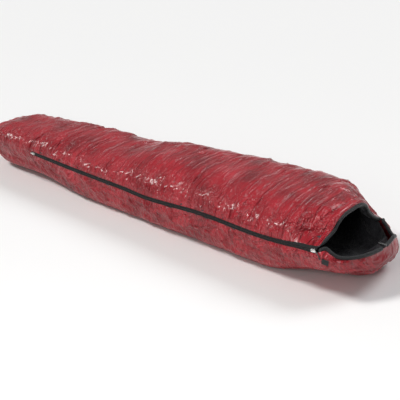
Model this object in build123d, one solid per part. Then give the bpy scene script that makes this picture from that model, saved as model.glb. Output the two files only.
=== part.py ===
"""Mummy sleeping bag lying closed on its back, as an assembly of its sewn and moulded pieces.

Millimetres. X runs from the foot (-X) to the head (+X), Z is up, and the two-way zip is on the -Y side.
The origin is the middle of the footprint, on the ground. The bag is an upper quilt (the lid) over a lower
quilt that carries on round the head as a hood bowl. Every wall is an outer shell, a row of down chambers
parted by mesh baffles, and a lining.
"""
from build123d import *
import os
from math import atan2, cos, degrees, sin, sqrt

# ---- driving dimensions ----
overall_length = 2160.0
half_width_at_zip_foot, half_width_at_zip_head = 188.0, 308.0
height_stations = [(-1080, 212), (-920, 222), (-760, 236), (-340, 256), (60, 287), (460, 295), (910, 272)]
zip_foot_x, zip_head_x = -680.0, 910.0
zip_foot_z, zip_head_z, zip_bow = 160.0, 190.0, 18.0
top_flat, base_flat = 0.20, 0.63          # flat share of the half width, on top and on the ground
foot_round, hood_round = 160.0, 170.0     # length of the rounded ends
end_power, end_share = 2.4, 0.22          # how blunt the ends are, and the flat share of the last face
foot_middle_z, hood_rim_z, hood_fall = 110.0, 150.0, 50.0   # the seam falls to the rim over hood_fall
foot_shares, hood_shares = (0.35, 0.6), (0.15, 0.29, 0.45, 0.6)     # section places along the rounded ends
cap_shares = (0.88, 0.95, 1.0)            # and over the end caps
zip_gap, side_gap = 7.0, 0.3              # from the seam line to the quilt edge, at the zip and elsewhere
lid_foot_gap = 2.5                        # between the lid and the closed foot
chamber_count = 10

# ---- layers of the wall, as depths from the outside ----
fabric, layer_gap, wall = 1.0, 0.3, 35.0
shell_layer = (0.0, fabric)
fill_layer = (fabric + layer_gap, wall - fabric - layer_gap)
lining_layer = (wall - fabric, wall)
binding_layer = (10.0, 24.0)
baffle_thickness = 0.7

# ---- zip ----
coil_width, coil_thickness, tape_width, tape_thickness = 3.0, 2.6, 8.6, 0.8
slider_length, slider_height, plate_thickness, plate_gap = 14.0, 11.0, 1.3, 1.7
pull_length, pull_width, pull_thickness = 16.0, 6.0, 1.4

foot_x, head_x = -overall_length / 2, overall_length / 2
foot_turn_x, hood_turn_x = foot_x + foot_round, head_x - hood_round
zip_span_x = zip_head_x - zip_foot_x
zip_run = sqrt(zip_span_x**2 + (half_width_at_zip_head - half_width_at_zip_foot) ** 2)
zip_chord = sqrt(zip_run**2 + (zip_head_z - zip_foot_z) ** 2)
zip_radius = (zip_chord**2 / 4 + zip_bow**2) / (2 * zip_bow)
chord_tilt = atan2(zip_head_z - zip_foot_z, zip_run)
zip_centre_u = zip_run / 2 - (zip_radius - zip_bow) * sin(chord_tilt)
zip_centre_z = (zip_foot_z + zip_head_z) / 2 + (zip_radius - zip_bow) * cos(chord_tilt)
zip_plane = Plane(
    origin=(zip_foot_x, -half_width_at_zip_foot, 0),
    x_dir=(zip_span_x, half_width_at_zip_foot - half_width_at_zip_head, 0),
    z_dir=(half_width_at_zip_foot - half_width_at_zip_head, -zip_span_x, 0),
)

os.makedirs("parts", exist_ok=True)


def save(name, *solids):
    """Writes one node from one solid or several separate ones."""
    export_step(solids[0] if len(solids) == 1 else Compound(children=list(solids)), f"parts/{name}.step")


# ---- outline of the bag ----
def half_width(x):
    slope = (half_width_at_zip_head - half_width_at_zip_foot) / zip_span_x
    return half_width_at_zip_foot + slope * (min(x, hood_turn_x) - zip_foot_x)


def height(x):
    for (x0, h0), (x1, h1) in zip(height_stations, height_stations[1:]):
        if x <= x1:
            return h0 + (h1 - h0) * (x - x0) / (x1 - x0)
    return height_stations[-1][1]


def zip_z(u):
    """Height of the zip's centre line at distance u along the zip plane."""
    return zip_centre_z - sqrt(zip_radius**2 - (u - zip_centre_u) ** 2)


def seam_z(x):
    """Height where the upper and lower quilts meet; past the zip's head end it falls to the hood rim."""
    if x <= zip_foot_x:
        return zip_foot_z
    if x <= zip_head_x:
        return zip_z((x - zip_foot_x) * zip_run / zip_span_x)
    fall = min(1.0, (x - zip_head_x) / hood_fall)
    return zip_head_z - zip_gap + fall * (hood_rim_z - zip_head_z + zip_gap)


def end_scale(share):
    return max(end_share, (1 - min(share, 1.0) ** end_power) ** (1 / end_power))


class Section:
    """The bag's cross-section at x: half width, height, seam and the scale that rounds off an end."""

    def __init__(self, x, share=None):
        self.x, self.scale, self.middle = x, 1.0, 0.0
        if x < foot_turn_x:
            self.scale = end_scale((foot_turn_x - x) / foot_round if share is None else share)
            self.middle = foot_middle_z
        elif x > hood_turn_x:
            self.scale = end_scale((x - hood_turn_x) / hood_round if share is None else share)
            self.middle = hood_rim_z
        self.w = half_width(max(x, foot_turn_x))
        self.h = height(max(x, foot_turn_x))
        self.seam = seam_z(x)
        self.plane = Plane(origin=(x, 0, 0), x_dir=(0, 1, 0), z_dir=(1, 0, 0))

    def zip_edge(self):
        return zip_gap if zip_foot_x <= self.x <= zip_head_x else side_gap

    def spot(self, y, z):
        return Vector(y * self.scale, self.middle + (z - self.middle) * self.scale)

    def line(self, a, b):
        return Line(self.spot(*a), self.spot(*b))

    def corner(self, side, up, depth):
        """One rounded corner, from the seam to the flat, at a depth from the outside."""
        flat = (top_flat if up else base_flat) * self.w
        edge = self.zip_edge() if side < 0 else side_gap
        z = self.seam + (edge if up else -edge)
        reach = self.h - z if up else z
        start = {(1, True): 0, (-1, True): 90, (-1, False): 180, (1, False): 270}[side, up]
        across = (self.w - flat - depth) * self.scale
        return EllipticalCenterArc(
            self.spot(side * flat, z), across, (reach - depth) * self.scale, start, arc_size=90
        )

    def flat_ends(self, up, depth):
        flat = (top_flat if up else base_flat) * self.w
        z = self.h - depth if up else depth
        return (-flat, z), (flat, z)

    def edge_spot(self, side, up, depth):
        edge = self.zip_edge() if side < 0 else side_gap
        return side * (self.w - depth), self.seam + (edge if up else -edge)

    def wall_wire(self, up, outer, inner):
        """The closed outline of a wall of one quilt, from the zip side over to the far side and back."""
        a, b = self.flat_ends(up, outer)
        c, d = self.flat_ends(up, inner)
        edges = [
            self.corner(-1, up, outer),
            self.line(a, b),
            self.corner(1, up, outer),
            self.line(self.edge_spot(1, up, outer), self.edge_spot(1, up, inner)),
            self.corner(1, up, inner),
            self.line(d, c),
            self.corner(-1, up, inner),
            self.line(self.edge_spot(-1, up, inner), self.edge_spot(-1, up, outer)),
        ]
        return self.plane * Wire(edges)

    def corner_wire(self, side, outer, inner):
        """The outline of one lower side wall, from the seam down to the ground panel."""
        a = self.flat_ends(False, outer)[side > 0]
        b = self.flat_ends(False, inner)[side > 0]
        edges = [
            self.corner(side, False, outer),
            self.line(a, b),
            self.corner(side, False, inner),
            self.line(self.edge_spot(side, False, inner), self.edge_spot(side, False, outer)),
        ]
        return self.plane * Wire(edges)

    def whole_wire(self, depth):
        """The closed outline of the whole bag, both quilts together."""
        top_a, top_b = self.flat_ends(True, depth)
        low_a, low_b = self.flat_ends(False, depth)
        edges = [
            self.line(top_b, top_a),
            self.corner(-1, True, depth),
            self.line(self.edge_spot(-1, True, depth), self.edge_spot(-1, False, depth)),
            self.corner(-1, False, depth),
            self.line(low_a, low_b),
            self.corner(1, False, depth),
            self.line(self.edge_spot(1, False, depth), self.edge_spot(1, True, depth)),
            self.corner(1, True, depth),
        ]
        return self.plane * Wire(edges)

    def bowl_wire(self, depth):
        """The closed outline of the lower quilt with its open top closed straight across."""
        low_a, low_b = self.flat_ends(False, depth)
        edges = [
            self.corner(-1, False, depth),
            self.line(low_a, low_b),
            self.corner(1, False, depth),
            self.line(self.edge_spot(1, False, depth), self.edge_spot(-1, False, depth)),
        ]
        return self.plane * Wire(edges)


def stations(x0, x1):
    """Section places between two ends: where the height changes slope, and along the rounded ends."""
    kinks = [x for x, _ in height_stations]
    kinks += [foot_turn_x - foot_round * s for s in foot_shares]
    kinks += [hood_turn_x + hood_round * s for s in hood_shares]
    kinks += [zip_foot_x + zip_span_x * i / chamber_count for i in range(chamber_count + 1)]
    inside = sorted({x for x in kinks if x0 + fabric < x < x1 - fabric})
    return [Section(x) for x in [x0, *inside, x1]]


def quilt_wall(up, layer, x0, x1):
    return Solid.make_loft([s.wall_wire(up, *layer) for s in stations(x0, x1)], ruled=True)


def lower_side(side, layer, x0, x1):
    return Solid.make_loft([s.corner_wire(side, *layer) for s in stations(x0, x1)], ruled=True)


# ---- quilts ----
lid_x0, lid_x1 = zip_foot_x + lid_foot_gap, zip_head_x
foot_end_share, hood_end_share = 0.78, 0.80
foot_wall_x = foot_turn_x - foot_round * foot_end_share
hood_wall_x = hood_turn_x + hood_round * hood_end_share
end_gap = 0.01                            # between a wall and its end cap, as a share of the rounding
pitch = zip_span_x / chamber_count
baffle_x = [zip_foot_x + pitch * i for i in range(1, chamber_count)]
half_baffle = baffle_thickness / 2 + layer_gap


def chambers(up, x0, x1):
    """Down chambers of one quilt, parted by the baffles."""
    walls = [x0, *baffle_x, x1]
    for i, (a, b) in enumerate(zip(walls, walls[1:])):
        start = a if i == 0 else a + half_baffle
        stop = b if i == chamber_count - 1 else b - half_baffle
        name = f"{'upper' if up else 'lower'}_chamber_{i + 1:02d}"
        save(name, quilt_wall(up, fill_layer, start, stop))


def baffle(up, x):
    return quilt_wall(up, fill_layer, x - baffle_thickness / 2, x + baffle_thickness / 2)


def end_cap(turn_x, direction, length, depth, first_share, kind):
    """A solid that closes a rounded end, from first_share of its length out to the tip."""
    wires = []
    for share in (first_share, *cap_shares):
        inward = depth * (share - first_share) / (1 - first_share)
        section = Section(turn_x + direction * (length * share - inward), share)
        wires.append(getattr(section, kind)(depth))
    return Solid.make_loft(wires, ruled=True)


def end_cover(turn_x, direction, length, first_share, kind):
    """The fabric over a rounded end."""
    outer = end_cap(turn_x, direction, length, 0, first_share, kind)
    return outer - end_cap(turn_x, direction, length, fabric, first_share, kind)


def build_lid():
    save("upper_shell", quilt_wall(True, shell_layer, lid_x0, lid_x1))
    save("upper_lining", quilt_wall(True, lining_layer, lid_x0, lid_x1))
    chambers(True, lid_x0, lid_x1)
    save("upper_baffles", *[baffle(True, x) for x in baffle_x])
    save("arch_binding", quilt_wall(True, binding_layer, lid_x1 + layer_gap, lid_x1 + binding_depth))


def build_lower_quilt():
    x0, x1 = zip_foot_x, hood_turn_x - layer_gap
    ground = [(s.x, base_flat * s.w) for s in stations(x0, x1)]
    outline = ground + [(x, -y) for x, y in reversed(ground)]
    save("ground_panel", extrude(make_face(Polyline(*outline, close=True)), fabric))
    save("lower_shell_sides", *[lower_side(side, shell_layer, x0, x1) for side in (-1, 1)])
    save("lower_lining", quilt_wall(False, lining_layer, x0, x1))
    chambers(False, x0 + half_baffle, x1 - half_baffle)
    save("lower_baffles", *[baffle(False, x) for x in baffle_x])


def build_foot():
    x0, x1, middle = foot_wall_x, zip_foot_x - layer_gap, foot_turn_x
    share = foot_end_share + end_gap
    cover = end_cover(foot_turn_x, -1, foot_round, share, "whole_wire")
    save("foot_shell", quilt_wall(True, shell_layer, x0, x1), quilt_wall(False, shell_layer, x0, x1), cover)
    for up, name in ((True, "foot_upper"), (False, "foot_lower")):
        save(f"{name}_chamber_01", quilt_wall(up, fill_layer, x0, middle - half_baffle))
        save(f"{name}_chamber_02", quilt_wall(up, fill_layer, middle + half_baffle, x1 - layer_gap))
    save("foot_baffle", baffle(True, middle), baffle(False, middle))
    liner = Section(x0 + fabric, foot_end_share).whole_wire(wall + layer_gap)
    disc = Solid.make_loft([liner, liner.moved(Location((fabric, 0, 0)))], ruled=True)
    save("foot_lining", quilt_wall(True, lining_layer, x0, x1), quilt_wall(False, lining_layer, x0, x1), disc)
    save("foot_end_chamber", end_cap(foot_turn_x, -1, foot_round, fill_layer[0], share, "whole_wire"))


def build_hood():
    x0, share = hood_turn_x + layer_gap, hood_end_share + end_gap
    cover = end_cover(hood_turn_x, 1, hood_round, share, "bowl_wire")
    save("hood_shell", quilt_wall(False, shell_layer, x0, hood_wall_x), cover)
    save("hood_lining", quilt_wall(False, lining_layer, x0, hood_wall_x))
    save("hood_chamber", quilt_wall(False, fill_layer, x0, hood_wall_x))
    save("hood_end_chamber", end_cap(hood_turn_x, 1, hood_round, fill_layer[0], share, "bowl_wire"))


# ---- zip: everything lies along one arc in an upright plane; locally X runs to the head, Y up, Z out ----
def zip_spot(u, rise):
    turn = (u - zip_centre_u) / zip_radius
    r = zip_radius - rise
    return zip_centre_u + r * sin(turn), zip_centre_z - r * cos(turn)


def zip_strip(u0, u1, low, high, inner, outer):
    """A strip that follows the zip's arc, between two heights and two depths."""
    middle = (u0 + u1) / 2
    a, b, c = (zip_spot(u, low) for u in (u0, middle, u1))
    d, e, f = (zip_spot(u, high) for u in (u1, middle, u0))
    edges = [ThreePointArc(a, b, c), Line(c, d), ThreePointArc(d, e, f), Line(f, a)]
    strip = extrude(make_face(edges), outer - inner)
    return zip_plane.location * Pos(0, 0, inner) * strip


def on_zip(u, solid):
    """Places a solid made round the zip's centre line at distance u."""
    turn = degrees((u - zip_centre_u) / zip_radius)
    x, y = zip_spot(u, 0)
    return zip_plane.location * Pos(x, y, 0) * Rot(0, 0, turn) * solid


tape_inner = 0.3
tape_outer = tape_inner + tape_thickness
tape_middle = tape_inner + tape_thickness / 2
coil_edge, coil_tape_gap = 0.15, 0.1      # from the seam line to the coil, and from the coil to its tape
stop_length, stop_u = 4.0, 4.0
upper_slider_u, lower_slider_u, coil_slack = zip_run - 12.0, 16.0, 1.0


def build_zip():
    depths = (tape_middle - coil_thickness / 2, tape_middle + coil_thickness / 2)
    coil_u = (lower_slider_u + coil_slack, upper_slider_u - coil_slack)
    for up, name in ((True, "upper"), (False, "lower")):
        coil = (coil_edge, coil_edge + coil_width)
        tape = (coil[1] + coil_tape_gap, tape_width)
        if not up:
            coil, tape = (-coil[1], -coil[0]), (-tape[1], -tape[0])
        save(f"{name}_coil", zip_strip(*coil_u, *coil, *depths))
        u0 = lid_foot_gap * 2 if up else 0.0
        save(f"{name}_tape", zip_strip(u0, zip_run, *tape, tape_inner, tape_outer))
    stop = Box(stop_length, 2 * coil_width, coil_thickness)
    save("zip_foot_stop", on_zip(stop_u, Pos(0, 0, tape_middle) * stop))


plate_corner, wedge_radius, wedge_x = 2.5, 2.0, 4.2
plate_outer_z = tape_middle + plate_gap + plate_thickness
pin_x, pin_z, pin_radius, pin_length = -1.0, plate_outer_z + 2.2, 0.6, 6.0
ear_length, ear_height, ear_thickness, ear_y, ear_drop, ear_foot_length = 4.0, 3.4, 1.0, 3.0, 0.4, 3.6


def slider_body(wedge_side):
    """Two plates joined by a wedge between the coils, with two ears and a pin for the pull."""
    plate = extrude(RectangleRounded(slider_length, slider_height, plate_corner), plate_thickness)
    body = Pos(0, 0, tape_middle + plate_gap) * plate
    body += Pos(0, 0, tape_middle - plate_gap - plate_thickness) * plate
    wedge = extrude(RegularPolygon(wedge_radius, 4), 2 * plate_gap + plate_thickness)
    body += Pos(wedge_side * wedge_x, 0, tape_middle - plate_gap - plate_thickness / 2) * wedge
    for side in (-1, 1):
        ear = extrude(RectangleRounded(ear_length, ear_height, ear_thickness), ear_thickness)
        upright = Rot(90, 0, 0) * Pos(0, 0, -ear_thickness / 2) * ear
        body += Pos(pin_x, side * ear_y, pin_z - ear_drop) * upright
        foot = Box(ear_foot_length, ear_thickness, pin_z - plate_outer_z)
        body += Pos(pin_x, side * ear_y, (pin_z + plate_outer_z) / 2) * foot
    return body + Pos(pin_x, 0, pin_z) * Rot(90, 0, 0) * Cylinder(pin_radius, pin_length)


eye_radius, eye_bore, eye_width = 1.7, 0.75, 4.4
neck_x, neck_length, neck_width = 3.0, 5.0, 3.8
blade_corner, grip_hole, grip_hole_inset = 1.8, 1.6, 3.2


def pull_tab():
    """A flat pull whose eye turns on the slider's pin, with a hole for the grip."""
    eye = Rot(90, 0, 0) * Cylinder(eye_radius, eye_width)
    neck = Pos(neck_x, 0, 0) * Box(neck_length, neck_width, pull_thickness)
    blade = extrude(RectangleRounded(pull_length - neck_length, pull_width, blade_corner), pull_thickness)
    tab = eye + neck + Pos((pull_length + neck_length) / 2, 0, -pull_thickness / 2) * blade
    tab -= Rot(90, 0, 0) * Cylinder(eye_bore, 2 * eye_width)
    return tab - Pos(pull_length - grip_hole_inset, 0, 0) * Cylinder(grip_hole, 2 * pull_thickness)


grip_route, grip_bend = [(pull_length + 0.6, 0), (25.0, -6.0), (33.0, -21.0)], 6.0
strap_thickness, strap_width = 2.2, 3.4
tip_spot, tip_turn = (33.6, -22.2), -62
tip_length, tip_width, tip_corner, tip_thickness = 9.0, 5.0, 1.6, 3.0


def pull_grip():
    """A moulded strap that hangs from the pull, thicker at its end."""
    spine = FilletPolyline(*grip_route, radius=grip_bend)
    section = Plane(origin=spine @ 0, z_dir=spine % 0) * Rectangle(strap_thickness, strap_width)
    tip = extrude(RectangleRounded(tip_length, tip_width, tip_corner), tip_thickness)
    return sweep(section, path=spine) + Pos(*tip_spot, -tip_thickness / 2) * Rot(0, 0, tip_turn) * tip


def build_sliders():
    save("upper_slider", on_zip(upper_slider_u, slider_body(1)))
    save("lower_slider", on_zip(lower_slider_u, slider_body(-1)))
    pivot = Pos(pin_x, 0, pin_z)
    save("upper_pull", on_zip(upper_slider_u, pivot * pull_tab()))
    save("upper_pull_grip", on_zip(upper_slider_u, pivot * pull_grip()))
    save("lower_pull", on_zip(lower_slider_u, pivot * Rot(0, 0, 180) * pull_tab()))


# ---- inside the zip, and round the face opening ----
draft_radius, draft_clear, draft_rise = 13.0, 3.0, 2.0
draft_foot_gap, draft_head_gap = 40.0, 30.0
binding_depth, binding_rise = 6.0, 5.7
rim_x0, rim_overlap = zip_head_x + 14.0, 4.0
cord_radius, cord_rise, cord_bend = 1.5, 7.0, 12.0
cord_side_x, cord_corner_y = (rim_x0 + 4.0, 962.0, 1008.0), 150.0
lock_y, lock_hole, plunger_press = -60.0, 2.2, 3.0
barrel_radius, barrel_bore, barrel_length, barrel_x, barrel_end = 5.5, 3.9, 26.0, 3.0, 1.5
plunger_radius, plunger_length, plunger_x = 3.6, 24.0, -4.1
spring_radius, spring_bore, spring_length, spring_x = 3.0, 2.2, 2.6, 12.7


def build_draft_tube():
    """A soft roll behind the zip, sewn to the lid."""
    wires = []
    for section in stations(zip_foot_x + draft_foot_gap, zip_head_x - draft_head_gap):
        y = -(section.w - wall - draft_clear - draft_radius)
        wires.append(section.plane * Pos(y, section.seam + draft_rise) * Wire.make_circle(draft_radius))
    save("draft_tube", Solid.make_loft(wires, ruled=True))


def rim_height(section):
    return section.spot(0, section.seam - side_gap).Y + layer_gap


def rim_middle(section, side):
    depth = sum(binding_layer) / 2
    return section.spot(side * (section.w - depth), 0).X


def rim_strip(side):
    """The binding along one side of the hood's rim."""
    wires = []
    for section in stations(rim_x0, hood_wall_x):
        low = rim_height(section)
        corners = []
        for depth, rise in ((0, 0), (1, 0), (1, binding_rise), (0, binding_rise)):
            y = section.spot(side * (section.w - binding_layer[depth]), 0).X
            corners.append((y, low + rise))
        wires.append(section.plane * Wire.make_polygon(corners))
    return Solid.make_loft(wires, ruled=True)


def build_hood_trim():
    """The binding round the hood's rim, the drawcord over it, and the cord lock at the head."""
    end = Section(hood_wall_x)
    low, reach = rim_height(end), rim_middle(end, 1) + rim_overlap
    across = binding_layer[1] - binding_layer[0]
    bar = Pos(hood_wall_x, 0, low + binding_rise / 2) * Box(across, 2 * reach, binding_rise)
    save("hood_rim_binding", rim_strip(-1) + rim_strip(1) + bar)

    route = []
    for x in cord_side_x:
        section = Section(x)
        route.append((x, rim_middle(section, -1), rim_height(section) + binding_rise + cord_rise))
    cord_z = low + binding_rise + cord_rise
    route.append((hood_wall_x, -cord_corner_y, cord_z))
    route += [(x, -y, z) for x, y, z in reversed(route)]
    spine = FilletPolyline(*route, radius=cord_bend)
    profile = Plane(origin=spine @ 0, z_dir=spine % 0) * Circle(cord_radius)
    save("hood_drawcord", sweep(profile, path=spine))

    lock = Pos(hood_wall_x, lock_y, cord_z)
    along, cross, through = Rot(0, 90, 0), Rot(90, 0, 0), 4 * barrel_radius
    barrel = Pos(barrel_x, 0, 0) * along * Cylinder(barrel_radius, barrel_length)
    barrel -= Pos(barrel_x - barrel_end, 0, 0) * along * Cylinder(barrel_bore, barrel_length)
    barrel -= cross * Cylinder(lock_hole, through)
    save("cord_lock_barrel", lock * barrel)
    plunger = Pos(plunger_x, 0, 0) * along * Cylinder(plunger_radius, plunger_length)
    slot = extrude(SlotCenterToCenter(plunger_press, 2 * lock_hole), through, both=True)
    plunger -= Pos(-plunger_press / 2, 0, 0) * cross * slot
    save("cord_lock_plunger", lock * plunger)
    ring = Cylinder(spring_radius, spring_length) - Cylinder(spring_bore, spring_length)
    save("cord_lock_spring", lock * Pos(spring_x, 0, 0) * along * ring)


tab_length, tab_width, tab_thickness, tab_corner = 30.0, 20.0, 1.5, 4.0
tab_offset, tab_z = 42.0, 160.0            # its middle, past the zip's head end


def build_closure_tab():
    """A webbing flap, sewn at its head end, that keeps the slider from creeping."""
    flap = extrude(RectangleRounded(tab_length, tab_width, tab_corner), tab_thickness)
    save("closure_tab", zip_plane.location * Pos(zip_run + tab_offset, tab_z, side_gap) * flap)


build_lid()
build_lower_quilt()
build_foot()
build_hood()
build_zip()
build_sliders()
build_draft_tube()
build_hood_trim()
build_closure_tab()
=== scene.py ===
import bpy
import math
import numpy as np
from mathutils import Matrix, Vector, noise


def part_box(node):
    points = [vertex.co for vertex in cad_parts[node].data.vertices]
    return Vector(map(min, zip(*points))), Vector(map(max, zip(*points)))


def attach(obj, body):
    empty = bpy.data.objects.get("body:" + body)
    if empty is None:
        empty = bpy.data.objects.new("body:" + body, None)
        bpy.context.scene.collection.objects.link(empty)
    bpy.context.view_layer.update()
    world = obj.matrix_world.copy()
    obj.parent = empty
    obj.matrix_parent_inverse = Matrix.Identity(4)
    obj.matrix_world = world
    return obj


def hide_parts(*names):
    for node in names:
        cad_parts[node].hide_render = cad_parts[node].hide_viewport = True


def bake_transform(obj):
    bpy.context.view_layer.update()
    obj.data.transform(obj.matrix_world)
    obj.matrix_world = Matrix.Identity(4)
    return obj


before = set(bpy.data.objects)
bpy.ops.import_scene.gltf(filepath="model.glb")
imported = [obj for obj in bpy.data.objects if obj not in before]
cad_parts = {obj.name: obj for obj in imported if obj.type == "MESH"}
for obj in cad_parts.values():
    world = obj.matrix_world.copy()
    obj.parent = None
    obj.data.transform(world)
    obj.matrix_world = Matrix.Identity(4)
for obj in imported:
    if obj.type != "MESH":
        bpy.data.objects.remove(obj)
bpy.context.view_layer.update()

bpy.ops.object.select_all(action="DESELECT")

# size and shape of the bag, in metres
bag = {
    "footX": -1.080, "headX": 1.080, "footRound": 0.160, "hoodRound": 0.170,
    "heights": [(-1.08, 0.212), (-0.92, 0.222), (-0.76, 0.236), (-0.34, 0.256), (0.06, 0.287),
                (0.46, 0.295), (0.91, 0.272)],
    "zipFoot": (-0.680, 0.188, 0.160), "zipHead": (0.910, 0.308, 0.190),   # x, half width, height
    "zipBow": 0.018, "zipGap": 0.0075, "rimZ": 0.150, "footMiddle": 0.110,
    "topFlat": 0.20, "baseFlat": 0.63, "wall": 0.035, "chambers": 10,
    "footPower": 2.1, "hoodPower": 2.05,      # how blunt the rounded ends are
    "rimFall": 0.10,                          # length over which the seam falls to the hood's rim
    "lidGap": 0.004, "lidGapRamp": 0.016, "headGapRamp": 0.020, "lipShare": 0.75,
}
footTurn, hoodTurn = bag["footX"] + bag["footRound"], bag["headX"] - bag["hoodRound"]
(zipX0, zipW0, zipZ0), (zipX1, zipW1, zipZ1) = bag["zipFoot"], bag["zipHead"]
zipRun = math.hypot(zipX1 - zipX0, zipW1 - zipW0)
zipRadius = ((zipRun**2 + (zipZ1 - zipZ0) ** 2) / 4 + bag["zipBow"] ** 2) / (2 * bag["zipBow"])
zipTilt = math.atan2(zipZ1 - zipZ0, zipRun)
zipMidU = zipRun / 2 - (zipRadius - bag["zipBow"]) * math.sin(zipTilt)
zipMidZ = (zipZ0 + zipZ1) / 2 + (zipRadius - bag["zipBow"]) * math.cos(zipTilt)
zipAlong = np.array([(zipX1 - zipX0) / zipRun, -(zipW1 - zipW0) / zipRun, 0.0])
zipOut = np.array([zipAlong[1], -zipAlong[0], 0.0])
pitch = (zipX1 - zipX0) / bag["chambers"]


def zipHeight(u):
    return zipMidZ - np.sqrt(zipRadius**2 - (u - zipMidU) ** 2)


def halfWidth(x):
    return zipW0 + (zipW1 - zipW0) / (zipX1 - zipX0) * (np.minimum(x, hoodTurn) - zipX0)


def topHeight(x):
    # the heights along the bag, joined by straight runs and then blended
    xs, hs = zip(*bag["heights"])
    ends, count, half = 0.3, 400, 20
    fine = np.linspace(xs[0] - ends, xs[-1] + ends, count)
    kernel = np.hanning(2 * half + 1)
    runs = np.pad(np.interp(fine, xs, hs), half, mode="edge")
    return np.interp(x, fine, np.convolve(runs, kernel / kernel.sum(), "valid"))


def seamHeight(x):
    along = (np.clip(x, zipX0, zipX1) - zipX0) * zipRun / (zipX1 - zipX0)
    fall = np.clip((x - zipX1) / bag["rimFall"], 0, 1)
    fall = fall * fall * (3 - 2 * fall)
    return zipHeight(along) + fall * (bag["rimZ"] - zipZ1)


def smoothStep(value, low, high):
    t = np.clip((value - low) / (high - low), 0, 1)
    return t * t * (3 - 2 * t)


def endColumns(count, turn, reach, direction):
    # x and shrink of the sections that round off an end, tip first
    almostTip = 0.996
    a = np.linspace(math.pi / 2 * almostTip, 0, count, endpoint=False)
    power = 2 / bag["footPower" if direction < 0 else "hoodPower"]
    return turn + direction * reach * np.sin(a) ** power, np.cos(a) ** power


def sectionPoints(x, shrink, middle, upper, inset, count, lip):
    # one quilt's cross-section, from the zip side over to the far side, evenly spaced
    w, h, seam = float(halfWidth(x)), float(topHeight(x)), float(seamHeight(x))
    lidStart = zipX0 + bag["lidGap"]
    opened = smoothStep(x, lidStart - bag["lidGapRamp"], lidStart)
    opened = opened - smoothStep(x, zipX1, zipX1 + bag["headGapRamp"])
    gap = bag["zipGap"] * float(opened)
    flat = (bag["topFlat"] if upper else bag["baseFlat"]) * w
    sign = 1 if upper else -1
    turn = np.linspace(0, math.pi / 2, 40)
    near, far = seam + sign * gap, seam
    reachNear = (h - near if upper else near) - inset
    reachFar = (h - far if upper else far) - inset
    side = w - flat - inset
    y = np.concatenate([-flat - side * np.cos(turn), flat + side * np.sin(turn)])
    z = np.concatenate([near + sign * reachNear * np.sin(turn), far + sign * reachFar * np.cos(turn)])
    if lip > 0:
        curl = np.linspace(math.pi / 2, 0, 8, endpoint=False)
        cy, cz = lip * (1 - np.cos(curl)), lip * bag["lipShare"] * np.sin(curl)
        y = np.concatenate([y[0] + cy, y, (y[-1] - cy)[::-1]])
        z = np.concatenate([near - sign * cz, z, (far - sign * cz)[::-1]])
    y, z = y * shrink, middle + (z - middle) * shrink
    run = np.concatenate([[0], np.cumsum(np.hypot(np.diff(y), np.diff(z)))])
    even = np.linspace(0, run[-1], count)
    return np.stack([np.full(count, x), np.interp(even, run, y), np.interp(even, run, z)], 1), run[-1]


# how the laid-out bag settles: the zip wanders, the head end draws in, and the hood's far rim sinks
rest = {
    "zipWave": 0.0065, "waveStart": 0.20, "waveLength": 0.64, "waveReach": 0.12,
    "farPull": 0.112, "pullFrom": 0.58, "pullTo": 0.93,
    "leanNear": 0.45, "leanFar": 0.36, "leanAxis": -0.03, "leanFrom": 0.76, "leanRise": 0.034,
    "puff": 0.012, "puffAt": 0.80, "puffReach": 0.07, "archRise": 0.010, "riseFrom": 0.82,
    "hoodCurl": 0.15, "rimSink": 0.058, "sinkFrom": 0.80, "tuckIn": 0.040, "tuckUp": 0.064,
    "sag": 0.008, "hollow": 0.022, "hollowAt": -0.25, "hollowReach": 0.13,
}


def settle(points):
    x, y, z = points[..., 0], points[..., 1], points[..., 2]
    w, seam = halfWidth(x), seamHeight(x)
    fromZip = np.hypot(y + w, z - seam)
    wave = rest["zipWave"] * np.sin(math.tau * (x - rest["waveStart"]) / rest["waveLength"])
    wave = wave * smoothStep(x, -0.12, 0.05) * (1 - smoothStep(x, 0.80, 0.84))
    moved = points.copy()
    lift = smoothStep(z - seam, 0.0, rest["leanRise"])
    lean = rest["leanNear"] + (rest["leanFar"] - rest["leanNear"]) * smoothStep(y, -0.15, 0.15)
    lean = 1 - lean * lift * smoothStep(x, rest["leanFrom"], zipX1)
    y = rest["leanAxis"] + (y - rest["leanAxis"]) * lean
    hood = smoothStep(x, zipX1, zipX1 + 0.06)
    tuck = smoothStep(x, 0.62, 0.94) + 0.6 * smoothStep(-x, 0.35, 0.75)
    tuck = tuck * (1 - smoothStep(z, 0.05, 0.17)) * (1 - smoothStep(y, -0.22, 0.02))
    y = y + rest["tuckIn"] * tuck
    share = np.clip((y + w) / (2 * w), 0, 1)
    y = y - rest["farPull"] * smoothStep(x, rest["pullFrom"], rest["pullTo"]) * share
    curl = 1 - rest["hoodCurl"] * hood * smoothStep(z, 0.08, 0.155)
    moved[..., 0] = zipX1 + (x - zipX1) * np.where(x > zipX1, curl, 1)
    moved[..., 1] = y
    rise = rest["puff"] * np.exp(-(((x - rest["puffAt"]) / rest["puffReach"]) ** 2))
    rise = (rise + rest["archRise"] * smoothStep(x, rest["riseFrom"], zipX1)) * lift
    hollow = rest["sag"] + rest["hollow"] * np.exp(-(((x - rest["hollowAt"]) / rest["hollowReach"]) ** 2))
    rise = rise - hollow * smoothStep(z, 0.17, 0.25) * (1 - smoothStep(x, 0.5, 0.7))
    sink = rest["rimSink"] * smoothStep(x, rest["sinkFrom"], zipX1 + 0.02) * smoothStep(y, 0.02, 0.17)
    sink = sink * smoothStep(z, 0.02, 0.13) * (1 - smoothStep(z, 0.19, 0.27))
    raised = rest["tuckUp"] * tuck * (1 - smoothStep(z, 0.0, 0.12))
    moved[..., 2] += wave * np.exp(-((fromZip / rest["waveReach"]) ** 2)) + rise - sink + raised
    return moved


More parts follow.
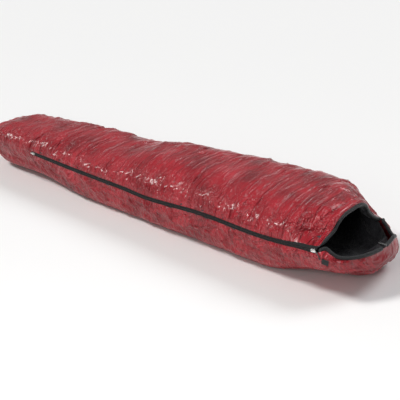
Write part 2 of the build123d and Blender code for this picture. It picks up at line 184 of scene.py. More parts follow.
# shader maths written as expressions
class Link:
    def __init__(self, tree, socket):
        self.tree, self.socket = tree, socket

    def maths(self, operation, a, b=0.0):
        made = self.tree.nodes.new("ShaderNodeMath")
        made.operation = operation
        for i, value in enumerate((a, b)):
            if isinstance(value, Link):
                self.tree.links.new(value.socket, made.inputs[i])
            else:
                made.inputs[i].default_value = value
        return Link(self.tree, made.outputs[0])

    def __add__(self, other):
        return self.maths("ADD", self, other)

    def __sub__(self, other):
        return self.maths("SUBTRACT", self, other)

    def __rsub__(self, other):
        return self.maths("SUBTRACT", other, self)

    def __mul__(self, other):
        return self.maths("MULTIPLY", self, other)

    def __abs__(self):
        return self.maths("ABSOLUTE", self)

    def fraction(self):
        return self.maths("FRACT", self)

    def below(self, limit):
        return self.maths("LESS_THAN", self, limit)

    __radd__, __rmul__ = __add__, __mul__


# a material round one Principled shader
class Finish:
    def __init__(self, name, sockets):
        self.material = bpy.data.materials.new(name)
        self.material.use_nodes = True
        self.tree = self.material.node_tree
        self.shader = self.tree.nodes["Principled BSDF"]
        for key, value in sockets.items():
            self.shader.inputs[key].default_value = value

    def node(self, kind, settings, sockets, out=0):
        made = self.tree.nodes.new(kind)
        for key, value in settings.items():
            if key == "stops":
                ramp = made.color_ramp
                ramp.elements[0].position, ramp.elements[1].position = value[0][0], value[-1][0]
                for place, _ in value[1:-1]:
                    ramp.elements.new(place)
                for element, (_, shade) in zip(ramp.elements, value):
                    element.color = (*shade, 1)
            else:
                setattr(made, key, value)
        for key, value in sockets.items():
            if isinstance(value, Link):
                self.tree.links.new(value.socket, made.inputs[key])
            else:
                made.inputs[key].default_value = value
        return Link(self.tree, made.outputs[out])

    def feed(self, name, link):
        self.tree.links.new(link.socket, self.shader.inputs[name])

    def surface(self):
        return self.node("ShaderNodeUVMap", {"uv_map": "UVMap"}, {})     # metres along and across the cloth

    def place(self):
        return self.node("ShaderNodeTexCoord", {}, {}, "Object")

    def stretch(self, where, turn, scale):
        sockets = {"Vector": where, "Rotation": (0, 0, turn), "Scale": scale}
        return self.node("ShaderNodeMapping", {}, sockets)

    def noise(self, where, scale, detail=3.0, rough=0.55, twist=0.0):
        sockets = {"Vector": where, "Scale": scale, "Detail": detail}
        return self.node("ShaderNodeTexNoise", {}, {**sockets, "Roughness": rough, "Distortion": twist})

    def weave(self, where, threadPitch):
        scale = math.tau / 20.0 / threadPitch
        sockets = {"Vector": where, "Scale": scale}
        over = self.node("ShaderNodeTexWave", {"bands_direction": "X"}, sockets, "Fac")
        under = self.node("ShaderNodeTexWave", {"bands_direction": "Y"}, sockets, "Fac")
        return over * 0.5 + under * 0.5

    def ramp(self, value, stops):
        return self.node("ShaderNodeValToRGB", {"stops": stops}, {"Fac": value})

    def bump(self, height, distance, strength, under=None):
        sockets = {"Height": height, "Distance": distance, "Strength": strength}
        if under:
            sockets["Normal"] = under
        return self.node("ShaderNodeBump", {}, sockets)


redNylon = {
    "tones": [(0.30, (0.20, 0.002, 0.008)), (0.50, (0.38, 0.007, 0.018)), (0.70, (0.52, 0.014, 0.030))],
    "roughness": 0.33, "creaseDepth": 0.012, "threadPitch": 0.0025,
    "crumpleFrom": 0.03, "crumpleTo": 0.20, "crumpleLeft": 0.16,      # crumples fade away from the zip
}


# thin glossy shell cloth: creases drawn across the bag, crumples by the zip, a stitched line at each baffle
def makeRedNylon():
    f = Finish("redShellNylon", {"Coat Roughness": 0.20, "Specular IOR Level": 0.5})
    cloth = f.surface()
    sharp = lambda value: 1 - abs(value - 0.5) * 5.0
    broad = f.noise(cloth, 6.0, 2.0)
    crumple = sharp(f.noise(cloth, 22.0, 2.0, 0.5, 0.6))
    crinkle = sharp(f.noise(cloth, 60.0, 2.0, 0.5, 1.0))
    drawn = sharp(f.noise(f.stretch(cloth, 0.16, (1.0, 0.09, 1.0)), 26.0, 2.0, 0.45, 0.3))
    fine = sharp(f.noise(f.stretch(cloth, -0.22, (1.0, 0.12, 1.0)), 70.0, 2.0, 0.5, 0.4))
    # base colour: a random broad tone of the red, plus painted highlights that lighten the red along the
    # drawn and fine crease ridges
    f.feed("Base Color", f.ramp(broad * 0.70 + drawn * 0.14 + fine * 0.05, redNylon["tones"]))
    f.feed("Roughness", broad * 0.20 + (redNylon["roughness"] - 0.10))
    f.feed("Coat Weight", broad * 0.8)
    parted = {"Vector": cloth}
    along = f.node("ShaderNodeSeparateXYZ", {}, parted)
    across = f.node("ShaderNodeSeparateXYZ", {}, parted, 1)
    reach = {"From Min": redNylon["crumpleFrom"], "From Max": redNylon["crumpleTo"]}
    fading = {"Value": across, **reach, "To Min": 1.0, "To Max": redNylon["crumpleLeft"]}
    nearZip = f.node("ShaderNodeMapRange", {"interpolation_type": "SMOOTHSTEP"}, fading)
    line = abs(((along - zipX0) * (1 / pitch) + 0.5).fraction() - 0.5)
    stitch = line.below(0.008)
    height = (crumple * crumple * 0.50 + crinkle * crinkle * 0.14) * nearZip
    height = height + drawn * drawn * 0.70 + fine * fine * 0.16
    creased = f.bump(height - stitch * 0.16, redNylon["creaseDepth"], 1.0)
    f.feed("Normal", f.bump(f.weave(cloth, redNylon["threadPitch"]), 0.0002, 0.15, creased))
    return f.material


liningTones = [(0.3, (0.014, 0.014, 0.017)), (0.7, (0.045, 0.045, 0.053))]


def makeBlackLining():
    sheen = {"Sheen Weight": 0.15, "Sheen Roughness": 0.4}
    f = Finish("blackLiningNylon", {**sheen, "Specular IOR Level": 0.35})
    cloth = f.surface()
    crumple = f.noise(cloth, 22.0, 4.0, 0.6, 0.8)
    crinkle = f.noise(cloth, 70.0, 4.0, 0.6, 1.0)
    f.feed("Base Color", f.ramp(crinkle, liningTones))
    f.feed("Roughness", crinkle * 0.25 + 0.42)
    folded = f.bump(abs(crumple - 0.5) + abs(crinkle - 0.5) * 0.3, 0.020, 1.0)
    f.feed("Normal", f.bump(f.weave(cloth, 0.002), 0.0002, 0.3, folded))
    return f.material


# woven tape: the bindings, the webbing and the zip's two tapes
def makeTape(name, shade, roughness, threadPitch):
    f = Finish(name, {"Sheen Weight": 0.06, "Sheen Roughness": 0.4, "Specular IOR Level": 0.3})
    cloth = f.surface()
    patch = f.noise(cloth, 110.0, 4.0)
    f.feed("Base Color", f.ramp(patch, [(0.35, tuple(c * 0.6 for c in shade)), (0.65, shade)]))
    f.feed("Roughness", patch * 0.2 + (roughness - 0.1))
    f.feed("Normal", f.bump(f.weave(cloth, threadPitch) + patch * 0.6, 0.0006, 0.7))
    return f.material


# moulded or drawn stock: plastic, rubber, spring wire and nickel
def makeMoulded(name, shade, roughness, metallic=0.0, scratch=0.0):
    f = Finish(name, {"Metallic": metallic})
    where = f.place()
    cloud = f.noise(where, 150.0, 4.0)
    grain = f.noise(f.stretch(where, 0.3, (0.25, 1.0, 1.0)), 1100.0, 2.0)
    f.feed("Base Color", f.ramp(cloud, [(0.3, tuple(c * 0.72 for c in shade)), (0.7, shade)]))
    f.feed("Roughness", cloud * 0.14 + grain * scratch + (roughness - 0.07))
    f.feed("Normal", f.bump(grain, 0.0001, 0.3))
    return f.material


def makeCordFinish():
    f = Finish("braidedCord", {"Roughness": 0.7})
    where = f.place()
    braid = f.weave(f.stretch(where, 0.785, (1.0, 1.0, 1.0)), 0.0012)
    f.feed("Base Color", f.ramp(braid, [(0.3, (0.008, 0.008, 0.008)), (0.7, (0.04, 0.04, 0.042))]))
    f.feed("Normal", f.bump(braid, 0.0004, 0.8))
    return f.material


redShell, blackLining = makeRedNylon(), makeBlackLining()
charcoalBinding = makeTape("charcoalBinding", (0.020, 0.021, 0.023), 0.42, 0.0016)
zipTape = makeTape("zipTape", (0.008, 0.0075, 0.008), 0.65, 0.0014)
webbing = makeTape("blackWebbing", (0.02, 0.02, 0.022), 0.55, 0.0022)
coilNylon = makeMoulded("coilNylon", (0.022, 0.020, 0.020), 0.35)
nickel = makeMoulded("brightNickel", (0.88, 0.87, 0.85), 0.18, 1.0, 0.14)
gripRubber = makeMoulded("gripRubber", (0.05, 0.05, 0.052), 0.5)
lockAcetal = makeMoulded("lockAcetal", (0.03, 0.03, 0.032), 0.35)
springWire = makeMoulded("springWire", (0.55, 0.55, 0.56), 0.3, 1.0, 0.1)
cordBraid = makeCordFinish()
print("finishes made")


# cloth pieces start as flat grids and are wrapped over the bag
def addGrid(name, along, across):
    bpy.ops.object.select_all(action="DESELECT")
    bpy.ops.mesh.primitive_grid_add(x_subdivisions=along, y_subdivisions=across, size=2)
    piece = bpy.context.object
    piece.name = piece.data.name = name
    spots = getShape(piece)
    i = np.rint((spots[:, 0] + 1) / 2 * along).astype(int)
    j = np.rint((spots[:, 1] + 1) / 2 * across).astype(int)
    return piece, i, j


def getShape(piece):
    spots = np.empty(len(piece.data.vertices) * 3, np.float32)
    piece.data.vertices.foreach_get("co", spots)
    return spots.reshape(-1, 3).astype(float)


def setShape(piece, points):
    piece.data.vertices.foreach_set("co", np.ascontiguousarray(points, dtype=np.float32).ravel())
    piece.data.update()


def setSurface(piece, along, across):
    # the cloth's own coordinates, in metres, one pair per vertex
    corners = np.empty(len(piece.data.loops), np.int32)
    piece.data.loops.foreach_get("vertex_index", corners)
    spots = np.stack([along[corners], across[corners]], 1).astype(np.float32)
    piece.data.uv_layers[0].data.foreach_set("uv", spots.ravel())


def gridNormals(grid):
    facing = np.cross(np.gradient(grid, axis=0), np.gradient(grid, axis=1))
    return facing / np.maximum(np.linalg.norm(facing, axis=2, keepdims=True), 1e-12)


def tidyMesh(piece, flip):
    bpy.ops.object.select_all(action="DESELECT")
    piece.select_set(True)
    bpy.context.view_layer.objects.active = piece
    bpy.ops.object.mode_set(mode="EDIT")
    bpy.ops.mesh.select_all(action="SELECT")
    bpy.ops.mesh.remove_doubles(threshold=0.00001)
    if flip:
        bpy.ops.mesh.flip_normals()
    bpy.ops.object.mode_set(mode="OBJECT")


def giveWall(piece, thickness):
    # cloth thickness, laid inwards
    wall = piece.modifiers.new("wall", "SOLIDIFY")
    wall.thickness, wall.offset = thickness, -1.0
    bpy.context.view_layer.objects.active = piece
    bpy.ops.object.modifier_apply(modifier=wall.name)


def smoothOver(piece, degrees=60):
    bpy.ops.object.select_all(action="DESELECT")
    piece.select_set(True)
    bpy.context.view_layer.objects.active = piece
    bpy.ops.object.shade_smooth_by_angle(angle=math.radians(degrees))


# the lid opens from the arch down; how far its cloth would turn towards the head is worked out, but the
# cloth is not moved
opening = {"fromX": -0.38, "toX": 0.35, "height": 0.2, "hingeReach": 0.12}


def markHinge(piece, fromFar):
    # how far each point of the cloth is from the far seam, which stays sewn to the under quilt
    mark = piece.data.attributes.new("fromFar", "FLOAT", "POINT")
    mark.data.foreach_set("value", np.ascontiguousarray(fromFar, dtype=np.float32))


def foldWithLid(piece):
    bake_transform(piece)
    turn = smoothStep(getShape(piece)[:, 0], opening["fromX"], opening["toX"])
    mark = piece.data.attributes.get("fromFar")
    if mark:
        reach = np.empty(len(turn), np.float32)
        mark.data.foreach_get("value", reach)
        turn = turn * smoothStep(reach, 0, opening["hingeReach"])
        piece.data.attributes.remove(mark)


quilt = {
    "step": 0.0050, "footColumns": 26, "hoodColumns": 34, "rimColumns": 6,
    "rowsUpper": 96, "rowsLower": 102,
    "liningStep": 0.010, "liningRows": 70, "rimRound": 0.014, "hoodLip": 0.012, "lipFrom": 0.004,
    "lipRamp": 0.020, "edgeTaper": 0.045, "cloth": 0.0008,
}


def wrapQuilt(upper, lining, step, rows):
    # one quilt as a grid of points: columns from foot to head, rows from the zip side to the far side
    inset = bag["wall"] if lining else 0.0
    xFoot, kFoot = endColumns(quilt["footColumns"], footTurn, bag["footRound"] - inset, -1)
    insets = [np.full(len(xFoot), inset)]
    if upper:
        start = zipX1 - quilt["rimRound"]
        xBody = np.arange(footTurn, start - step / 2, step)
        a = np.linspace(0, math.pi / 2, quilt["rimColumns"])
        xEnd, kEnd = start + quilt["rimRound"] * np.sin(a), np.ones(len(a))
        curl = quilt["rimRound"] * (1 - np.cos(a))
        insets += [np.full(len(xBody), inset), inset - curl if lining else curl]
    else:
        xBody = np.arange(footTurn, hoodTurn - step / 2, step)
        xEnd, kEnd = endColumns(quilt["hoodColumns"], hoodTurn, bag["hoodRound"] - inset, 1)
        xEnd, kEnd = xEnd[::-1], kEnd[::-1]
        insets += [np.full(len(xBody) + len(xEnd), inset)]
    xs = np.concatenate([xFoot, xBody, xEnd])
    shrink = np.concatenate([kFoot, np.ones(len(xBody)), kEnd])
    insets = np.concatenate(insets)
    middles = np.where(xs < footTurn, bag["footMiddle"], bag["rimZ"])
    columns, girths = [], []
    for x, k, middle, depth in zip(xs, shrink, middles, insets):
        lipStart = zipX1 + quilt["lipFrom"]
        lip = quilt["hoodLip"] * float(smoothStep(x, lipStart, lipStart + quilt["lipRamp"]))
        lip = 0.0 if upper else lip
        points, girth = sectionPoints(x, k, middle, upper, depth, rows + 1, -lip if lining else lip)
        columns.append(points)
        girths.append(girth * max(k, 0.25))
    across = np.linspace(0, 1, rows + 1)[None, :] * np.array(girths)[:, None]
    return np.array(columns), across


# folds in the shell: a bulge off the zip, pillows between baffles, draws and puckers from the zip, crumples
folds = {
    "bulge": 0.0060, "bulgeReach": 0.016, "bulgeFade": 0.10, "sunk": 0.0035, "pillow": 0.0030,
    "pucker": 0.0065, "puckerReach": 0.032, "puckerPitch": 0.026, "draw": 0.0110, "drawReach": 0.20,
    "drawPitch": 0.048, "crease": 0.0060, "crumple": 0.0055, "seed": 7,
    "wanderScale": 5.0, "creaseScales": (9.0, 8.0), "crumpleScales": (20.0, 16.0), "patchScale": 3.6,
    "crumpleReach": 0.12, "seamCalm": 0.03, "tipCalm": 0.03, "groundFrom": 0.004, "groundTo": 0.05,
}


def ridged(points, scale, octaves=3):
    # low in the flat, towards 1 on a sharp ridge
    total = sum((1 - 2.2 * np.abs(drift(points, scale * 2**k))) * 0.55**k for k in range(octaves))
    return np.clip(total / sum(0.55**k for k in range(octaves)), 0, 1)


def drift(points, scale):
    return np.array([noise.noise(Vector(p * scale)) for p in points])


def foldHeights(grid, across, upper):
    x = grid[..., 0]
    fromZip, fromFar = across, across[:, -1:] - across
    edge = np.minimum(fromZip, fromFar)
    side = 1 if upper else -1
    flat = np.stack([x, across * side, np.full_like(x, folds["seed"])], 2)
    lay = lambda spots, scale: drift(spots.reshape(-1, 3), scale).reshape(x.shape)
    peak = lambda spots, scale, octaves: ridged(spots.reshape(-1, 3), scale, octaves).reshape(x.shape)
    wander = lay(flat, folds["wanderScale"])
    pillow = folds["pillow"] * (np.sqrt(np.abs(np.sin(math.pi * (x - zipX0) / pitch))) - 0.7)
    slid = np.stack([x + 0.3 * side * across + 0.02 * wander, 0.3 * across * side, flat[..., 2]], 2)
    crease = peak(slid, folds["creaseScales"][0], 2) ** 4
    slid = np.stack([x - 0.5 * side * across, 0.35 * across * side + 4 + 0.02 * wander, flat[..., 2]], 2)
    crease = crease - 0.7 * peak(slid, folds["creaseScales"][1], 2) ** 4
    raised, dented = folds["crumpleScales"]
    crumple = peak(flat + 0.01 * wander[..., None], raised, 2) ** 3 - peak(flat + 5, dented, 2) ** 3 * 0.8
    where = smoothStep(lay(flat + 9, folds["patchScale"]), -0.20, 0.30)
    line = x + 0.12 * edge + 0.010 * wander
    pull = np.stack([line, 0.06 * edge + side, np.zeros_like(x)], 2)
    pucker = peak(pull, 0.5 / folds["puckerPitch"], 2)
    line = x + 0.22 * edge + 0.022 * wander
    pull = np.stack([line, 0.25 * edge + 3 * side, np.zeros_like(x)], 2)
    draw = peak(pull, 0.5 / folds["drawPitch"], 2) ** 3 - 0.25
    started = smoothStep(edge, 0.0, 0.010)
    height = pillow + folds["crease"] * crease * (1 - 0.5 * where)
    crumpled = 0.12 + 0.88 * where * np.exp(-edge / folds["crumpleReach"])
    height = height + folds["crumple"] * crumple * crumpled
    height = height * smoothStep(edge, 0, folds["seamCalm"])
    height = height - folds["pucker"] * pucker * started * np.exp(-edge / folds["puckerReach"])
    drawn = smoothStep(edge, 0.01, 0.04) * np.exp(-edge / folds["drawReach"])
    height = height + folds["draw"] * draw * drawn
    bulge = folds["bulge"] * (1 - np.exp(-edge / folds["bulgeReach"])) * np.exp(-edge / folds["bulgeFade"])
    return height + bulge - folds["sunk"] * smoothStep(edge, 0, 0.08)


# loft and slack found by simulation: pressure fills the quilt, and the cloth is a little too big for it
air = {
    "frames": 20, "quality": 4, "pressure": 1.2, "slack": -0.045, "bending": 0.02, "stiffness": 12.0,
    "outMost": 0.0055, "inMost": 0.0080, "sideMost": 0.004, "baffleHold": 0.16,
}


def puffUp(piece, hold):
    before = getShape(piece)
    group = piece.vertex_groups.new(name="hold")
    for level in np.unique(np.round(hold, 2)):
        if level > 0:
            group.add(np.nonzero(np.round(hold, 2) == level)[0].tolist(), float(level), "REPLACE")
    cloth = piece.modifiers.new("puff", "CLOTH")
    push = cloth.settings
    push.quality, push.mass = air["quality"], 0.2
    push.tension_stiffness = push.compression_stiffness = air["stiffness"]
    push.shear_stiffness, push.bending_stiffness = 4.0, air["bending"]
    push.vertex_group_mass, push.pin_stiffness = "hold", 1.0
    push.use_pressure, push.uniform_pressure_force = True, air["pressure"]
    push.shrink_min = air["slack"]
    push.effector_weights.gravity = 0
    cloth.collision_settings.use_collision = False
    cloth.point_cache.frame_start, cloth.point_cache.frame_end = 1, air["frames"]
    for number in range(1, air["frames"] + 1):
        bpy.context.scene.frame_set(number)
    bpy.context.view_layer.objects.active = piece
    bpy.ops.object.modifier_apply(modifier=cloth.name)
    bpy.context.scene.frame_set(1)
    piece.vertex_groups.clear()
    return before, getShape(piece)


def capMove(before, after, normals):
    move = after - before
    out = (move * normals).sum(1)
    side = move - out[:, None] * normals
    size = np.linalg.norm(side, axis=1)
    side = side * np.minimum(1, air["sideMost"] / np.maximum(size, 1e-9))[:, None]
    return before + side + np.clip(out, -air["inMost"], air["outMost"])[:, None] * normals


def makeQuiltShell(name, upper, nodes):
    grid, across = wrapQuilt(upper, False, quilt["step"], quilt["rowsUpper" if upper else "rowsLower"])
    facing = gridNormals(grid) * (1 if upper else -1)
    x, calm, headEnd = grid[..., 0], folds["tipCalm"], zipX1 if upper else bag["headX"]
    height = foldHeights(grid, across, upper) * smoothStep(x, bag["footX"], bag["footX"] + calm)
    height = height * (1 - smoothStep(x, headEnd - calm, headEnd))
    ground = np.zeros_like(height)
    if not upper:
        ground = 1 - smoothStep(grid[..., 2], folds["groundFrom"], folds["groundTo"])
    height = height * (1 - ground) + 0.0002 * ground
    shaped = settle(grid + facing * height[..., None])
    shaped[..., 2] = np.maximum(shaped[..., 2], 0.0005)       # the ground panel's thickness off the floor
    piece, i, j = addGrid(name, grid.shape[0] - 1, grid.shape[1] - 1)
    setShape(piece, shaped[i, j])
    setSurface(piece, grid[..., 0][i, j], across[i, j])
    edge = np.minimum(across, across[:, -1:] - across)
    cell = np.abs(((grid[..., 0] - zipX0) / pitch + 0.5) % 1 - 0.5) * pitch
    hold = np.maximum(1 - smoothStep(edge, 0.0, 0.010), air["baffleHold"] * (cell < 0.004))
    hold = np.maximum(hold, ground)
    hold[:3] = 1                                    # the ends stay as they are
    hold[-(quilt["rimColumns"] + 1 if upper else 3):] = 1
    before, after = puffUp(piece, hold[i, j])
    setShape(piece, capMove(before, after, facing[i, j]))
    spots = getShape(piece)
    for column in (0,) if upper else (0, grid.shape[0] - 1):
        spots[i == column] = spots[i == column].mean(0)
    spots[:, 2] = np.maximum(spots[:, 2], 0.0004)
    setShape(piece, spots)
    if upper:
        markHinge(piece, (across[:, -1:] - across)[i, j])
    tidyMesh(piece, flip=not upper)
    giveWall(piece, quilt["cloth"])
    smoothOver(piece)
    piece.data.materials.append(redShell)
    if upper:
        foldWithLid(piece)
    else:
        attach(piece, "lower_quilt")
    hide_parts(*nodes)
    print(name, "made,", len(piece.data.polygons), "faces")


def numbered(stem, count):
    return [f"{stem}_{k:02d}" for k in range(1, count + 1)]


makeQuiltShell("topQuiltShell", True, ["upper_shell", "upper_baffles", *numbered("upper_chamber", 10)])
makeQuiltShell("underQuiltShell", False, [
    "ground_panel", "lower_shell_sides", "lower_baffles", *numbered("lower_chamber", 10),
    "foot_shell", "foot_baffle", "foot_end_chamber", *numbered("foot_upper_chamber", 2),
    *numbered("foot_lower_chamber", 2), "hood_shell", "hood_chamber", "hood_end_chamber",
])


# the black inside: sewn to the shell at the zip, a quilt's thickness away elsewhere
liningFolds = {"soft": 0.0130, "softScale": 9.0, "sharp": 0.0090, "sharpScale": 14.0, "sewn": 0.94}


def makeQuiltLining(name, upper, nodes):
    rows, step = quilt["liningRows"], quilt["liningStep"]
    outer, _ = wrapQuilt(upper, False, step, rows)
    grid, across = wrapQuilt(upper, True, step, rows)
    edge = np.minimum(across, across[:, -1:] - across)
    x = grid[..., 0]
    zipped = smoothStep(x, zipX0 - 0.03, zipX0) * (1 - smoothStep(x, zipX1, zipX1 + 0.03))
    share = 1 - zipped * (1 - smoothStep(across, 0.0, quilt["edgeTaper"])) * liningFolds["sewn"]
    grid = outer * (1 - share[..., None]) + grid * share[..., None]
    facing = gridNormals(grid) * (1 if upper else -1)
    side = 1 if upper else -1
    flat = np.stack([grid[..., 0], across * side, np.full_like(across, 3.0)], 2).reshape(-1, 3)
    soft = drift(flat, liningFolds["softScale"]).reshape(across.shape) * liningFolds["soft"]
    sharp = ridged(flat * [1, 0.45, 1], liningFolds["sharpScale"]).reshape(across.shape) - 0.4
    sharp = sharp * liningFolds["sharp"]
    calm = smoothStep(edge, 0, 0.05)
    calm = calm * smoothStep(grid[..., 0], bag["footX"] + 0.04, bag["footX"] + 0.08)
    if upper:
        calm = calm * (1 - smoothStep(grid[..., 0], zipX1 - 0.05, zipX1 - 0.01))
    else:
        calm = calm * (1 - smoothStep(grid[..., 0], bag["headX"] - 0.08, bag["headX"] - 0.04))
    inward = ((np.abs(soft) + sharp) * calm)[..., None]
    grid = grid - facing * inward + settle(outer) - outer
    piece, i, j = addGrid(name, grid.shape[0] - 1, grid.shape[1] - 1)
    spots = grid[i, j]
    for column in (0,) if upper else (0, grid.shape[0] - 1):
        spots[i == column] = spots[i == column].mean(0)
    setShape(piece, spots)
    setSurface(piece, grid[..., 0][i, j], across[i, j])
    if upper:
        markHinge(piece, (across[:, -1:] - across)[i, j])
    tidyMesh(piece, flip=upper)
    giveWall(piece, quilt["cloth"])
    smoothOver(piece)
    piece.data.materials.append(blackLining)
    if upper:
        foldWithLid(piece)
    else:
        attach(piece, "lower_quilt")
    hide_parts(*nodes)
    print(name, "made,", len(piece.data.polygons), "faces")


makeQuiltLining("topQuiltLining", True, ["upper_lining"])
makeQuiltLining("underQuiltLining", False, ["lower_lining", "foot_lining", "hood_lining"])


# rolls and bindings: a grid rolled round a path
def rollAlong(name, path, sides, acrossVectors, upVectors, wide, thick, material):
    piece, i, j = addGrid(name, len(path) - 1, sides)
    angle = math.tau * np.arange(sides + 1) / sides
    ring = wide[:, None, None] * np.cos(angle)[None, :, None] * acrossVectors[:, None, :]
    ring = ring + thick[:, None, None] * np.sin(angle)[None, :, None] * upVectors[:, None, :]
    points = path[:, None, :] + ring
    run = np.concatenate([[0], np.cumsum(np.linalg.norm(np.diff(path, axis=0), axis=1))])
    girth = np.max(wide + thick) * math.pi / sides
    setShape(piece, points[i, j])
    setSurface(piece, run[i], j * girth)
    tidyMesh(piece, flip=False)
    bpy.ops.object.mode_set(mode="EDIT")
    bpy.ops.mesh.select_all(action="SELECT")
    bpy.ops.mesh.normals_make_consistent(inside=False)
    bpy.ops.object.mode_set(mode="OBJECT")
    smoothOver(piece)
    piece.data.materials.append(material)
    return piece


def closedEnds(values, count=4):
    # narrows a roll to a point at both ends
    fade = np.ones(len(values))
    ease = np.sqrt(1 - (1 - np.arange(count) / count) ** 2)
    fade[:count], fade[-count:] = ease, ease[::-1]
    return values * fade


roll = {
    "radius": 0.013, "fromX": -0.640, "toX": 0.880, "step": 0.006, "clear": 0.003, "rise": 0.002,
    "gather": 0.0016, "gatherScale": 28,
}


def makeDraftTube():
    x = np.arange(roll["fromX"], roll["toX"], roll["step"])
    y = -(halfWidth(x) - bag["wall"] - roll["clear"] - roll["radius"])
    path = settle(np.stack([x, y, seamHeight(x) + roll["rise"]], 1))
    lumps = np.array([noise.noise(Vector((v * roll["gatherScale"], 5, 0))) for v in x]) * roll["gather"]
    size = closedEnds(roll["radius"] - roll["gather"] + lumps)
    across = np.tile([0.0, 1.0, 0.0], (len(x), 1))
    up = np.tile([0.0, 0.0, 1.0], (len(x), 1))
    piece = rollAlong("draftTube", path, 20, across, up, size, size, blackLining)
    foldWithLid(piece)
    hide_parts("draft_tube")


binding = {
    "archInset": 0.019, "archWide": 0.0085, "archThick": 0.0065, "gather": 0.0010, "gatherPitch": 0.011,
    "rimWide": 0.0075, "rimThick": 0.0080, "rimRise": 0.0020, "rimInset": 0.0030, "cordRadius": 0.0015,
}


def crossDirections(path, outward):
    along = np.gradient(path, axis=0)
    along = along / np.linalg.norm(along, axis=1, keepdims=True)
    across = outward - (outward * along).sum(1, keepdims=True) * along
    across = across / np.linalg.norm(across, axis=1, keepdims=True)
    return across, np.cross(along, across)


def gathered(path, size, seed):
    run = np.concatenate([[0], np.cumsum(np.linalg.norm(np.diff(path, axis=0), axis=1))])
    lumps = np.array([noise.noise(Vector((v / binding["gatherPitch"], seed, 0))) for v in run])
    return closedEnds(size + lumps * binding["gather"])


def makeArchBinding():
    path, _ = sectionPoints(zipX1 + 0.001, 1.0, bag["rimZ"], True, binding["archInset"], 260, 0.0)
    edge, _ = sectionPoints(zipX1 + 0.001, 1.0, bag["rimZ"], True, 0.0, len(path), 0.0)
    path = path + settle(edge) - edge
    outward = path - path.mean(0) * [1, 0, 1] + [0, 0, 0.05]
    across, up = crossDirections(path, outward * [0, 1, 1])
    wide, thick = gathered(path, binding["archWide"], 1), gathered(path, binding["archThick"], 2)
    piece = rollAlong("archBinding", path, 14, across, up, wide, thick, charcoalBinding)
    apart = np.linalg.norm(getShape(piece)[:, None] - path[None], axis=2)
    run = np.concatenate([[0], np.cumsum(np.linalg.norm(np.diff(path, axis=0), axis=1))])
    markHinge(piece, (run[-1] - run)[apart.argmin(1)])
    foldWithLid(piece)
    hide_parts("arch_binding")


def rimPath(step):
    # the hood shell's own free edge, from the zip's head end round to the far seam
    grid, _ = wrapQuilt(False, False, quilt["step"], quilt["rowsLower"])
    grid = settle(grid[grid[:, 0, 0] > zipX1 + 0.001])
    loop = np.concatenate([grid[:, 0], grid[::-1, -1]])
    middle = np.array([zipX1, rest["leanAxis"], 0])
    inward = (middle - loop) * [1, 1, 0]
    inward = inward / np.linalg.norm(inward, axis=1, keepdims=True)
    loop = loop + inward * binding["rimInset"]
    loop[:, 2] += binding["rimRise"]
    run = np.concatenate([[0], np.cumsum(np.linalg.norm(np.diff(loop, axis=0), axis=1))])
    even = np.arange(0, run[-1], step)
    loop = np.stack([np.interp(even, run, loop[:, k]) for k in range(3)], 1)
    soft = np.hanning(9) / np.hanning(9).sum()
    ends = loop[[0, -1]]
    loop = np.stack([np.convolve(np.pad(loop[:, k], 4, mode="edge"), soft, "valid") for k in range(3)], 1)
    loop[[0, -1]] = ends
    return loop


def makeRimBinding():
    path = rimPath(0.0030)
    across, up = crossDirections(path, (path - [hoodTurn - 0.1, rest["leanAxis"], 0]) * [1, 1, 0])
    low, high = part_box("cord_lock_barrel")
    atLock = np.hypot(path[:, 0] - (low.x + high.x) / 2, path[:, 1] - (low.y + high.y) / 2)
    bare = 0.12 + 0.88 * smoothStep(atLock, 0.011, 0.018)     # the cord shows where it leaves its channel
    wide = gathered(path, binding["rimWide"], 3) * bare
    thick = gathered(path, binding["rimThick"], 4) * bare
    piece = rollAlong("hoodRimBinding", path, 14, across, up, wide, thick, charcoalBinding)
    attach(piece, "lower_quilt")
    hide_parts("hood_rim_binding")
    size = np.full(len(path), binding["cordRadius"])
    cord = rollAlong("hoodDrawcord", path, 10, across, up, closedEnds(size), closedEnds(size), cordBraid)
    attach(cord, "lower_quilt")
    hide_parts("hood_drawcord")


makeDraftTube()
makeArchBinding()
makeRimBinding()
print("draft tube and bindings made")


# the zip: two woven tapes and two rows of coil teeth on one gentle arc
zipper = {
    "tapeInner": 0.0030, "tapeEdge": 0.0092, "tapeOut": 0.0011, "tapeThick": 0.0009, "step": 0.004,
    "toothPitch": 0.0030, "toothLong": 0.0034, "toothWide": 0.0016, "toothHigh": 0.0018, "coilFrom": 0.022,
    "coilTo": 0.014, "coilMiddle": 0.0007,
}


def onZip(u, rise, out):
    z = zipHeight(u) + rise
    spots = np.array([zipX0, -zipW0, 0.0]) + u[..., None] * zipAlong + out[..., None] * zipOut
    spots[..., 2] = z
    return settle(spots)


def makeTapeStrip(name, sign, node):
    u = np.arange(0.006 if sign > 0 else 0.0, zipRun, zipper["step"])
    rise = np.linspace(zipper["tapeInner"], zipper["tapeEdge"], 5) * sign
    flat = np.array([[v * 60, sign * 3, 0] for v in u])
    ripple = drift(flat, 1.0)[:, None] * np.abs(rise)[None, :] * 0.10
    along, up = np.meshgrid(u, rise, indexing="ij")
    points = onZip(along, up, zipper["tapeOut"] + np.abs(ripple))
    piece, i, j = addGrid(name, len(u) - 1, 4)
    setShape(piece, points[i, j])
    setSurface(piece, u[i], rise[j])
    tidyMesh(piece, flip=sign < 0)
    giveWall(piece, zipper["tapeThick"])
    piece.data.materials.append(zipTape)
    if sign > 0:
        foldWithLid(piece)
    else:
        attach(piece, "lower_quilt")
    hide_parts(node)


